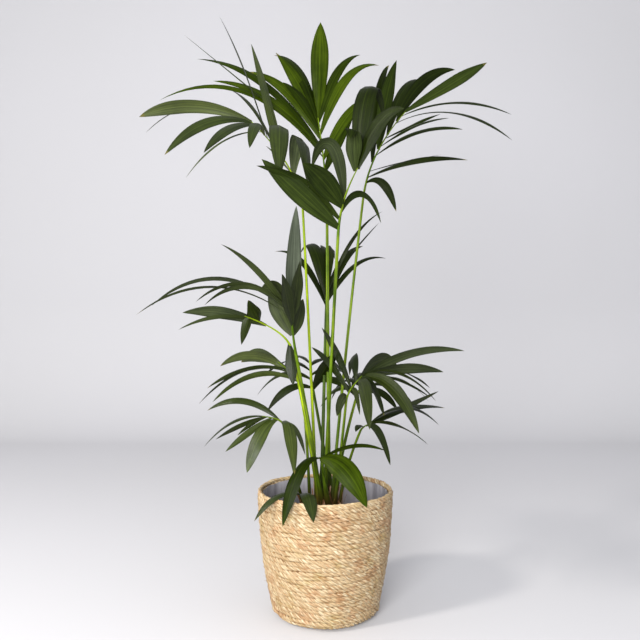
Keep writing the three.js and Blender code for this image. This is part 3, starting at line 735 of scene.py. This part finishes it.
def shade_sheet_behind_rope(material):
    """A thin dark brown wall behind the turns of rope: painted shade that shows in the gaps between them."""
    foot, floor, thick, behind_rope = 10, 4, 1, 4.2
    least, flare, floor_share = 94, 0.5, 0.85
    levels = [foot + floor, 45, 80, 120, 160, 200, 238]

    def outside(z):
        return min(basket_radius(z) - behind_rope, least + flare * z)

    core = start_disc(72, outside(levels[0]), foot, floor)
    draw_through(levels, outside)
    bpy.ops.mesh.inset(thickness=thick * MM)
    draw_through(levels[:0:-1], lambda z: outside(z) - thick)
    draw_up(foot + floor + 2 - levels[1], floor_share)
    bpy.ops.object.mode_set(mode="OBJECT")
    smooth(core, 40)
    seat(core, "shade_sheet_behind_rope", [material], "seagrass")


def liner(material):
    """Film cup: drawn up inside the basket, then pleated and crumpled."""
    low, floor, thick = FOOT_ROUND - 2, 2, 0.4
    pleat_depth, crumple_depth, top_wave = 2.6, 1.5, 2.2
    top = BASKET_HEIGHT - LINER_BELOW_RIM
    levels = [low + floor, 60, 120, 160] + [172 + 5.5 * step for step in range(12)] + [top]

    def outside(z):
        return basket_radius(z) - LINER_GAP

    film = start_disc(180, outside(low), low, floor)
    draw_through(levels, outside)
    bpy.ops.mesh.delete(type="FACE")
    bpy.ops.object.mode_set(mode="OBJECT")
    for vertex in film.data.vertices:
        spot = vertex.co / MM
        around = away(math.atan2(spot.y, spot.x))
        # The pleats grow from flat at 150 mm up to their full depth at the top.
        share = part_way(spot.z, 150, 240)
        pleat = max(noise.noise(around * 9 + UP * spot.z * 0.006), 0)
        crumple = max(noise.noise(around * 22 + UP * spot.z * 0.05), 0)
        inward = share * (pleat_depth * pleat**0.8 + crumple_depth * crumple) + 0.2
        vertex.co -= around * inward * MM
        if spot.z > top - 1:
            vertex.co.z += top_wave * noise.noise(around * 5) * MM
    skin = film.modifiers.new("skin", "SOLIDIFY")
    skin.thickness = thick * MM
    skin.offset = -1
    apply_all(film)
    smooth(film, 60)
    seat(film, "film_liner", [material], "film", "liner")


def soil(material):
    """Root ball: a plug drawn up from its base, with a crumbled top."""
    low, base, ring, rings = FOOT_ROUND + 1, 4, 4.4, 26
    heap_height, crumb_height = 2.2, 1.6

    def outside(z):
        return basket_radius(z) - SOIL_GAP

    plug = start_disc(96, outside(low), low, base, walls=2)
    draw_through([low + base, 70, 130, SOIL_TOP - 3], outside)
    for _ in range(rings):
        bpy.ops.mesh.inset(thickness=ring * MM)
    bpy.ops.object.mode_set(mode="OBJECT")
    for vertex in plug.data.vertices:
        spot = vertex.co / MM
        if spot.z > SOIL_TOP - 4:
            heap = heap_height * noise.noise(Vector((spot.x, spot.y, 0)) * 0.03)
            crumb = crumb_height * noise.noise(Vector((spot.x, spot.y, 7)) * 0.16)
            vertex.co.z += (heap + crumb) * MM
    smooth(plug, 60)
    seat(plug, "potting_mix", [material], "potting_mix", "soil")


def loose_chips(material, count, seed):
    """Bark chips and roots lying on the mix, as small uneven slabs."""
    rng = random.Random(seed)
    points, faces = [], []
    spread, sunk, pile = 118, 1.6, 1.4
    for _ in range(count):
        angle = rng.uniform(0, 2 * math.pi)
        out = spread * math.sqrt(rng.random())
        middle = away(angle) * out + UP * (SOIL_TOP - sunk + rng.uniform(0, pile))
        turn = Quaternion(UP, rng.uniform(0, 2 * math.pi)) @ Quaternion((1, 0, 0), rng.uniform(-0.4, 0.4))
        size = Vector((rng.uniform(2, 6.5), rng.uniform(1.2, 3), rng.uniform(0.5, 1.4)))
        first = len(points)
        for z in (-1, 1):
            for x, y in ((-1, -1), (1, -1), (1, 1), (-1, 1)):
                corner = Vector((x * size.x, y * size.y, z * size.z)) * rng.uniform(0.6, 1.1)
                points.append(middle + turn @ corner)
        for face in ((0, 3, 2, 1), (4, 5, 6, 7), (0, 1, 5, 4), (1, 2, 6, 5), (2, 3, 7, 6), (3, 0, 4, 7)):
            faces.append([first + corner for corner in face])
    seat(from_faces(points, faces, 30), "bark_chips", [material], "potting_mix")


def tube_faces(first, size, rings):
    """The faces between rings of so many points, the first point of the first ring given."""
    faces = []
    for row in range(first, first + size * (rings - 1), size):
        for i in range(size):
            a, b = row + i, row + (i + 1) % size
            faces.append([a, b, b + size, a + size])
    return faces


def wandering(rng, spot, heading, steps, stride, drifts):
    """Spots of a dry blade that keeps veering, by a random share of each drift: its way and its limits."""
    spots = []
    for _ in range(steps):
        spots.append(spot)
        for way, low, high in drifts:
            heading = heading + way * rng.uniform(low, high)
        heading.normalize()
        spot = spot + heading * stride
    return spots


def straw(made, spots, sides, outs, width, lot, loss=0.75, power=1, back=0.5):
    """One dry blade along its spots: flat, three sided, and narrower by the loss at its tip."""
    points, faces, tracks = made
    first, rings = len(points), len(spots)
    for step, (spot, side, out) in enumerate(zip(spots, sides, outs)):
        half = width * (1 - loss * (step / (rings - 1)) ** power)
        points += [spot + side * half, spot - side * half, spot - out * back]
    faces += tube_faces(first, 3, rings)
    last = len(points) - 3
    faces += [[first + 2, first + 1, first], [last, last + 1, last + 2]]
    tracks += [(0.12, lot), (0.22, lot), (0.22, lot + 0.2), (0.12, lot + 0.2)] * (3 * (rings - 1))
    tracks += [(0.17, lot)] * 6


def straw_ends(material, count, seed):
    """Loose ends of seagrass that stand off the rope, a third of them at the rim."""
    rng = random.Random(seed)
    made = points, faces, tracks = [], [], []
    steps = 5
    for number in range(count):
        rim = number < count // 3
        outward = away(rng.uniform(0, 2 * math.pi))
        high = rng.uniform(236, 242) if rim else rng.uniform(26, 236)
        heading = sideways(outward) * rng.choice((-1, 1)) + outward * rng.uniform(0.05, 0.3)
        climb = rng.uniform(-0.1, 0.5) if rim else rng.uniform(-0.35, 0.25)
        heading = (heading.normalized() + UP * climb).normalized()
        length = rng.uniform(5, 15)
        spot = outward * (basket_radius(high) - (4 if rim else 0.6)) + UP * high
        side = heading.cross(outward).normalized()
        drifts = (outward, -0.12, 0.1), (UP, -0.1, 0.08)
        spots = wandering(rng, spot, heading, steps, length / (steps - 1), drifts)
        straw(made, spots, [side] * steps, [outward] * steps, rng.uniform(0.25, 0.7), rng.uniform(0, 90))
    seat(from_faces(points, faces, 60, tracks=tracks), "straw_ends", [material], "seagrass")


def laid_blades(name, count, material, seed):
    """Blades that left their strand and were pressed over the next turns, most of them slanting down."""
    rng = random.Random(seed)
    made = points, faces, tracks = [], [], []
    steps, raised = 7, 2.2
    for _ in range(count):
        angle = rng.uniform(0, 2 * math.pi)
        high = rng.uniform(30, 234)
        length = rng.uniform(8, 26)
        slope = rng.uniform(-0.75, 0.1)
        spots, sides, outs = [], [], []
        for step in range(steps):
            share = step / (steps - 1)
            outward = away(angle + length * share / basket_radius(high))
            level = high + slope * length * share
            radius = basket_radius(level) - raised + raised * math.sin(math.pi * share)
            spots.append(outward * radius + UP * level)
            sides.append((UP - sideways(outward) * slope).normalized())
            outs.append(outward)
        straw(made, spots, sides, outs, rng.uniform(0.4, 1.1), rng.uniform(0, 90))
    seat(from_faces(points, faces, 60, tracks=tracks), name, [material], "seagrass")


def stem(name, values, material):
    """Short stem wrapped in old sheaths: a cone drawn up in ridges, open and ragged at its top."""
    x, y = values["at"]
    low, base, steps = SOIL_TOP - 2, 4, 7
    lip, hollow = 0.22 * values["radius"], 3
    wrap_depth, split_depth, narrower, top_narrower = 1.2, 0.9, 0.975, 0.93
    ridge = (values["top"] - low - base) / steps
    body = start_disc(28, values["radius"], low, base, values["at"], walls=2)
    for step in range(steps):
        draw_up(ridge, narrower if step < steps - 1 else top_narrower, values["at"])
    bpy.ops.mesh.inset(thickness=lip * MM)
    bpy.ops.transform.translate(value=(0, 0, -hollow * MM))
    bpy.ops.object.mode_set(mode="OBJECT")
    for vertex in body.data.vertices:
        spot = vertex.co / MM - Vector((x, y, 0))
        outward = away(math.atan2(spot.y, spot.x))
        wrap = noise.noise(outward * 2.4 + UP * (spot.z * 0.02 + x))
        split = noise.noise(outward * 8 + UP * (spot.z * 0.03 + y))
        vertex.co += outward * (wrap_depth * wrap + split_depth * split) * MM
    smooth(body, 50)
    seat(body, f"sheathed_{name}", [material], "sheath", name)


def sheath_scraps(materials, count, seed):
    """Torn strips and fibres of old sheath that stand round the foot of the stalks."""
    rng = random.Random(seed)
    made = points, faces, _ = [], [], []
    marks = []
    steps = 6
    for values in STEMS.values():
        for number in range(count):
            outward = away(rng.uniform(0, 2 * math.pi))
            around = sideways(outward)
            strip = number % 3 == 0
            wide = rng.uniform(2, 5) if strip else rng.uniform(0.3, 0.8)
            stride = rng.uniform(10, 38) / (steps - 1)
            spot = Vector((*values["at"], 0)) + outward * (values["radius"] * rng.uniform(0.8, 0.95) + 0.2)
            spot.z = values["top"] - rng.uniform(4, 16)
            lean = outward * rng.uniform(-0.15, 0.2) + around * rng.uniform(-0.25, 0.25)
            drifts = (outward, -0.1, 0.16), (around, -0.14, 0.14)
            spots = wandering(rng, spot, (UP + lean).normalized(), steps, stride, drifts)
            before = len(faces)
            straw(made, spots, [-around] * steps, [outward] * steps, wide, 0, loss=0.8, power=1.5, back=0.55)
            papery = strip and rng.random() < 0.6
            marks += [int(papery)] * (len(faces) - before)
    seat(from_faces(points, faces, 60, marks), "sheath_scraps", materials, "sheath")


def bend(a, b, c, share):
    """A point of the curve that starts at a, heads for b and ends at c."""
    return a * (1 - share) ** 2 + b * 2 * share * (1 - share) + c * share**2


def ways(a, b, c, share, lean):
    """Three directions at a point of such a curve: ahead, level across it, and square to both."""
    ahead = ((b - a) * (1 - share) + (c - b) * share).normalized()
    level = sideways(away(lean))
    across = (level - ahead * level.dot(ahead)).normalized()
    return ahead, across, ahead.cross(across)


def frond_lines(frond):
    """The three points of the stalk's curve and of the rib's, in millimetres."""
    foot = Vector((*frond["foot"], STEMS[frond["stem"]]["top"] + CLEAR))
    collar = Vector(frond["collar"])
    tip = Vector(frond["tip"])
    span = collar - foot
    knee = foot + Vector((span.x * frond["rise"], span.y * frond["rise"], span.z * 0.5))
    crest = collar + (collar - knee).normalized() * frond["arch"] * (tip - collar).length
    return (foot, knee, collar), (collar, crest, tip)


def stalk(name, frond, material):
    """Stalk and rib in one: clasping foot, round back, channel along the upper side, fine tip."""
    lower, upper = frond_lines(frond)
    length = (lower[2] - lower[0]).length
    lean = math.radians(frond["face"])
    sides, below, above, rings_to_unit = 12, 30, 16, 10
    rings = below + above + 1
    points, tracks = [], []
    for ring in range(rings):
        if ring < below:
            line, share = lower, ring / below
            radius = STALK_RADIUS + (COLLAR_RADIUS - STALK_RADIUS) * share
            swell = max(1 - share * length / FOOT_LENGTH, 0) ** 1.6
        else:
            line, share = upper, (ring - below) / above
            radius = COLLAR_RADIUS * (1 + (RIB_TIP_SHARE - 1) * share)
            swell = 0
        _, across, face_up = ways(*line, share, lean)
        for side in range(sides):
            angle = 2 * math.pi * side / sides
            tall = math.sin(angle)
            # The channel runs along the upper side; the foot flattens into its sheath.
            wide = math.cos(angle) * (1 + 0.85 * swell)
            rise = (tall - CHANNEL_DEPTH * max(tall, 0) ** 3) * (1 + 0.25 * swell)
            points.append(bend(*line, share) + (across * wide + face_up * rise) * radius)
    for ring in range(rings - 1):
        low, high = ring / rings_to_unit, (ring + 1) / rings_to_unit
        for side in range(sides):
            left, right = side / sides, (side + 1) / sides
            tracks += [(left, low), (right, low), (right, high), (left, high)]
    ends = list(range(sides))[::-1], list(range(len(points) - sides, len(points)))
    tracks += [(0.5, 0)] * sides + [(0.5, rings / rings_to_unit)] * sides
    piece = from_faces(points, [*tube_faces(0, sides, rings), *ends], 60, tracks=tracks)
    seat(piece, f"stalk_{name}", [material], "petiole", f"petiole_{name}")


def along(values, share):
    """The value of a short list at a share of its length, or the number itself."""
    if not isinstance(values, list):
        return values
    place = share * (len(values) - 1)
    low = min(int(place), len(values) - 2)
    return values[low] + (values[low + 1] - values[low]) * (place - low)


def width_share(share, full):
    """Share of a leaflet's full width along its length: narrow at the rib, full at one place, pointed."""
    if share < full:
        return LEAF_BASE_SHARE + (1 - LEAF_BASE_SHARE) * math.sin(math.pi / 2 * share / full)
    rest = (share - full) / (1 - full)
    return math.cos(math.pi / 2 * rest) ** LEAF_POINT_POWER


def leaflet_points(line, lean, hand, leaf, rng):
    """Rings of points and the tip of one leaflet, folded along its middle and bowed by its weight."""
    ahead, across, upper = ways(*line, leaf["at"], lean)
    lift = math.radians(leaf["lift"])
    open_by = math.radians(leaf["open"])
    outward = across * hand * math.cos(lift) + upper * math.sin(lift)
    start = ahead * math.cos(open_by) + outward * math.sin(open_by)
    blade = outward * math.cos(open_by) - ahead * math.sin(open_by)
    centre = bend(*line, leaf["at"])
    before = start.copy()
    points = []
    wave = rng.uniform(0, FULL_TURN)
    waves = rng.uniform(*LEAF_WAVES)
    for step in range(LEAF_STEPS):
        share = step / LEAF_STEPS
        direction = (start - UP * leaf["sag"] * share).normalized()
        blade = before.rotation_difference(direction) @ blade
        before = direction
        twist = math.radians(leaf["turn"] + LEAF_TWIST * math.sin(wave + share * LEAF_TWIST_PACE) * share)
        broad = Quaternion(direction, twist) @ blade
        proud = direction.cross(broad) * hand
        half = leaf["broad"] / 2 * width_share(share, leaf.get("full", LEAF_BROADEST_AT))
        fold = LEAF_BASE_FOLD * (1 - share) ** 2 + LEAF_FOLD
        ripple = LEAF_RIPPLE * half * math.sin(wave + share * waves * FULL_TURN)
        ring = []
        for lane in range(LEAF_LANES + 1):
            place = 2 * lane / LEAF_LANES - 1
            drop = fold * half * abs(place) ** LEAF_FOLD_POWER - ripple * place
            ring.append(centre + broad * half * place - proud * drop)
        points += ring
        thick = LEAF_THICK * (1 - LEAF_THINNING * share)
        for lane in range(LEAF_LANES - 1, 0, -1):
            rib = LEAF_RIB * (1 - share) if lane == LEAF_LANES // 2 else 0
            points.append(ring[lane] - proud * (thick + rib))
        onward = (start - UP * leaf["sag"] * (step + 0.5) / LEAF_STEPS).normalized()
        centre = centre + onward * leaf["reach"] / LEAF_STEPS
    return [*points, centre]


def leaflet_skin(hand, dry, marks):
    """Faces of one leaflet, with a mark for each and a track for each corner."""
    faces, kinds, tracks = [], [], []
    size = 2 * LEAF_LANES
    tip = LEAF_STEPS * size
    for step in range(LEAF_STEPS):
        low, high = step / LEAF_STEPS, (step + 1) / LEAF_STEPS
        for i in range(size):
            top = i < LEAF_LANES
            left, right = (edge / LEAF_LANES if top else 2 - edge / LEAF_LANES for edge in (i, i + 1))
            a, b = step * size + i, step * size + (i + 1) % size
            if step < LEAF_STEPS - 1:
                face = [a, b, b + size, a + size]
                track = [(left, low), (right, low), (right, high), (left, high)]
            else:
                face = [a, b, tip]
                track = [(left, low), (right, low), (0.5, 1)]
            if hand > 0:
                face.reverse()
                track.reverse()
            faces.append(face)
            tracks += track
            kinds.append(marks["dry"] if high > 1 - dry else marks["upper"] if top else marks["under"])
    cap = list(range(size))
    if hand < 0:
        cap.reverse()
    faces.append(cap)
    tracks += [(0.5, 0)] * size
    kinds.append(marks["under"])
    return faces, kinds, tracks


def blades(name, frond, looks, rng):
    """All leaflets of a frond, joined."""
    _, line = frond_lines(frond)
    lean = math.radians(frond["face"])
    points, faces, kinds, tracks = [], [], [], []
    for side, hand in (("left", 1), ("right", -1)):
        values = frond[side]
        count = len(values["at"]) if isinstance(values["at"], list) else 1
        for number in range(count):
            share = number / max(count - 1, 1)
            leaf = {key: along(value, share) for key, value in values.items()}
            dry = rng.choice((0, 0, 0, DRY_TIP_SHARE))
            marks = {"upper": rng.choice((0, 0, 1)), "under": rng.choice((2, 3)), "dry": 4}
            if leaf.get("young"):
                marks = {"upper": 5, "under": 5, "dry": 5}
            skin, skin_kinds, skin_tracks = leaflet_skin(hand, dry, marks)
            faces += [[len(points) + corner for corner in face] for face in skin]
            kinds += skin_kinds
            tracks += skin_tracks
            points += leaflet_points(line, lean, hand, leaf, rng)
    seat(from_faces(points, faces, 65, kinds, tracks), f"blades_{name}", looks, "leaf", f"frond_{name}")


def backdrop(paper):
    """Pale studio sweep: a floor drawn up into a wall by one rounded corner."""
    width, wall_height, corner = 9, 5, 0.7
    clear()
    bpy.ops.mesh.primitive_plane_add(size=width, location=(0, -1.9, -0.0005))
    settle()
    sweep = bpy.context.object
    mesh = sweep.data

    def at_back(edge, below):
        return all(mesh.vertices[i].co.y > 2 and mesh.vertices[i].co.z < below for i in edge.vertices)

    choose("EDGE", mesh.edges, lambda edge: at_back(edge, wall_height))
    bpy.ops.mesh.extrude_region_move(TRANSFORM_OT_translate={"value": (0, 0, wall_height)})
    choose("EDGE", mesh.edges, lambda edge: at_back(edge, 1))
    bpy.ops.mesh.bevel(offset=corner, segments=16)
    bpy.ops.object.mode_set(mode="OBJECT")
    sweep.name = "studio_sweep"
    mesh.shade_smooth()
    mesh.materials.append(paper)


def lamp(name, place, aim, size, power, colour):
    """A round softbox of so many metres and watts, turned towards its aim."""
    light = bpy.data.lights.new(name, "AREA")
    light.shape = "DISK"
    light.size = size
    light.energy = power
    light.color = linear(colour)[:3]
    holder = bpy.data.objects.new(name, light)
    holder.location = place
    holder.rotation_mode = "QUATERNION"
    holder.rotation_quaternion = (Vector(aim) - Vector(place)).to_track_quat("-Z", "Y")
    bpy.context.scene.collection.objects.link(holder)


def studio():
    """Camera at the photo's height and distance, level, with soft light from the upper left."""
    scene = bpy.context.scene
    camera = bpy.data.objects.new("camera", bpy.data.cameras.new("camera"))
    camera.data.sensor_width = 36
    camera.data.lens = 40
    camera.location = (-0.0106, -1.422, 0.58)
    camera.rotation_euler = (math.pi / 2, 0, 0)
    scene.collection.objects.link(camera)
    scene.camera = camera
    lamp("key_softbox", (-2.15, -1.5, 2.05), (0, 0, 0.35), 0.4, 62, "#fff8f0")
    lamp("front_softbox", (-0.65, -2.65, 1.0), (0, 0, 0.5), 1.4, 132, "#ffffff")
    lamp("wall_softbox", (0.1, 0.7, 2.9), (0, 2.6, 0.9), 1.6, 1, "#f8f8ff")
    world = bpy.data.worlds.new("studio_air")
    world.use_nodes = True
    back = world.node_tree.nodes["Background"]
    back.inputs["Color"].default_value = linear("#f2f2f6")
    back.inputs["Strength"].default_value = 0.94
    scene.world = world
    scene.view_settings.view_transform = "Standard"


studio()
# Matt paper: one soft grey, a shade uneven over metres
PAPER_GREYS = [(0.3, "#bebec0"), (0.7, "#c1c1c4")]
backdrop(grained_material("matt_backdrop_paper", 0.9, 0.5, (0.6, 0.6, 0.6), 1, 0.5, PAPER_GREYS, 0, 0))

SEAGRASS = seagrass_material("twisted_seagrass", ("#866843", "#997f5c", "#a5906f", "#b8aa8e"), 0.7)
RIM_GRASS = seagrass_material("smooth_seagrass_rim", ("#8c7250", "#a08a66", "#b09a78", "#bcac90"), 0.3)
BROWN_GRASS = seagrass_material("weathered_seagrass", ("#4c3520", "#6c5030", "#8a6c46", "#a38a62"), 0.3)
wound_rope("rope_floor_and_foot", 0, LOWER_FROM, SEAGRASS)
wound_rope("rope_lower_wall", LOWER_FROM, UPPER_FROM, SEAGRASS)
wound_rope("rope_upper_wall", UPPER_FROM, RIM_FROM, SEAGRASS)
wound_rope("rope_rim", RIM_FROM, ALL_TURNS, RIM_GRASS)
# A dark brown sheet behind the coil, shown between its turns: painted shade for the gaps, too dark to show
# relief
CORE_SHADE_BROWNS = [(0.35, "#5c4029"), (0.65, "#94703f")]
PAINTED_SHADE_CORE = grained_material("shaded_seagrass_core", 0.9, 0.5, (300, 300, 300), 2, 0.5, CORE_SHADE_BROWNS, 0, 0)
shade_sheet_behind_rope(PAINTED_SHADE_CORE)
straw_ends(SEAGRASS, 150, 11)
laid_blades("laid_pale_blades", 160, SEAGRASS, 21)
laid_blades("laid_brown_blades", 160, BROWN_GRASS, 22)
liner(film_material())

# Moist peat potting mix: near black crumbs with brown bark fibre, no gloss
PEAT_BROWNS = [(0.3, "#17100b"), (0.55, "#33251a"), (0.75, "#5c4630")]
PEAT = grained_material("peat_potting_mix", 0.95, 0.2, (420, 420, 420), 5, 0.7, PEAT_BROWNS, 0.8, 0.002)
soil(PEAT)
# Composted bark and fibre lying on the mix: dry and rough
BARK_BROWNS = [(0.35, "#3a2616"), (0.65, "#8a623c")]
BARK = grained_material("bark_chips", 0.85, 0.3, (260, 260, 260), 3, 0.5, BARK_BROWNS, 0.4, 0.0008)
loose_chips(BARK, 420, 5)

SHEATH = sheath_material("fibrous_leaf_sheath", "#2c1a0e", "#55381f", "#805a34", "#b08654")
PAPERY = sheath_material("papery_leaf_sheath", "#6a4634", "#a07a62", "#c8a68c", "#e2cbb2")
for stem_name, stem_values in STEMS.items():
    stem(stem_name, stem_values, SHEATH)
sheath_scraps([SHEATH, PAPERY], 30, 8)

LIME = petiole_material("lime_leaf_stalk", "#a3ba1e", "#788f0a", "#566a0e", "#4a3d1a")
GREEN = petiole_material("green_leaf_stalk", "#73881c", "#48620a", "#384a0c", "#33290f")
# The shaded stalk is painted shade: a darker copy of the stalk for the fronds at the back.
SHADED_STALK = petiole_material("shaded_leaf_stalk", "#4e6616", "#2f430a", "#293a0a", "#281f0c")
STALK_LOOKS = {"crown_left": LIME, "middle_left": LIME, "middle_back": SHADED_STALK, "back_low": SHADED_STALK}

# Each finish: dark green, light green and the colour of its midrib
DRY = leaf_material("dry_leaf_tip", "#3e3c0e", "#5c5620", "#4e4818", 0.6, 0.2)
SPEAR = leaf_material("unopened_spear_leaf", "#2c3326", "#495040", "#545a4c", 0.42, 0.3)
# The sets paint light and shade into the greens: sunlit is lighter and fresher for fronds in the light,
# shaded darker for fronds in shade, dull a half shade between them, and waxy greyer for a painted sheen on
# top of its real gloss.
SUNLIT = leaf_looks(
    "sunlit", 0.04, ("#162001", "#253202", "#324208"), ("#222f02", "#384706", "#43540b"),
    ("#243105", "#394809", "#455414"), ("#222d09", "#354212", "#404d1b"),
)
SHADED = leaf_looks(
    "shaded", 0.06, ("#111802", "#1d2705", "#2b380c"), ("#182204", "#293608", "#38460f"),
    ("#1c2609", "#2d390f", "#3b4818"), ("#1e250f", "#2f3918", "#3d4724"),
)
HALF_SHADED = leaf_looks(
    "dull", 0.12, ("#131b06", "#20290a", "#2d3713"), ("#1c2408", "#2c3511", "#39421a"),
    ("#21280e", "#323b1a", "#3e4624"), ("#252d17", "#384024", "#444c2d"),
)
WAXY_WITH_PAINTED_SHEEN = leaf_looks(
    "waxy", 0.2, ("#1c2508", "#2e390e", "#3f4b20"), ("#27320e", "#3f4a17", "#4b5724"),
    ("#2f3814", "#475023", "#535c30"), ("#343e23", "#4d5732", "#5a633f"),
)
# Each frond gets the set for the painted light or shade it stands in; the rest get the waxy set with its
# painted sheen.
LEAF_LOOKS = {
    "crown_back": SUNLIT, "basket_front": SUNLIT, "crown_front": SHADED,
    "middle_front": HALF_SHADED, "right_front": HALF_SHADED, "right_low": HALF_SHADED, "middle_left": HALF_SHADED,
    "crown_right": SHADED, "middle_back": SHADED, "back_low": SHADED, "back_right": SHADED,
}
growth = random.Random(3)
for frond_name, frond_values in FRONDS.items():
    stalk(frond_name, frond_values, STALK_LOOKS.get(frond_name, GREEN))
    blades(frond_name, frond_values, [*LEAF_LOOKS.get(frond_name, WAXY_WITH_PAINTED_SHEEN), DRY, SPEAR], growth)
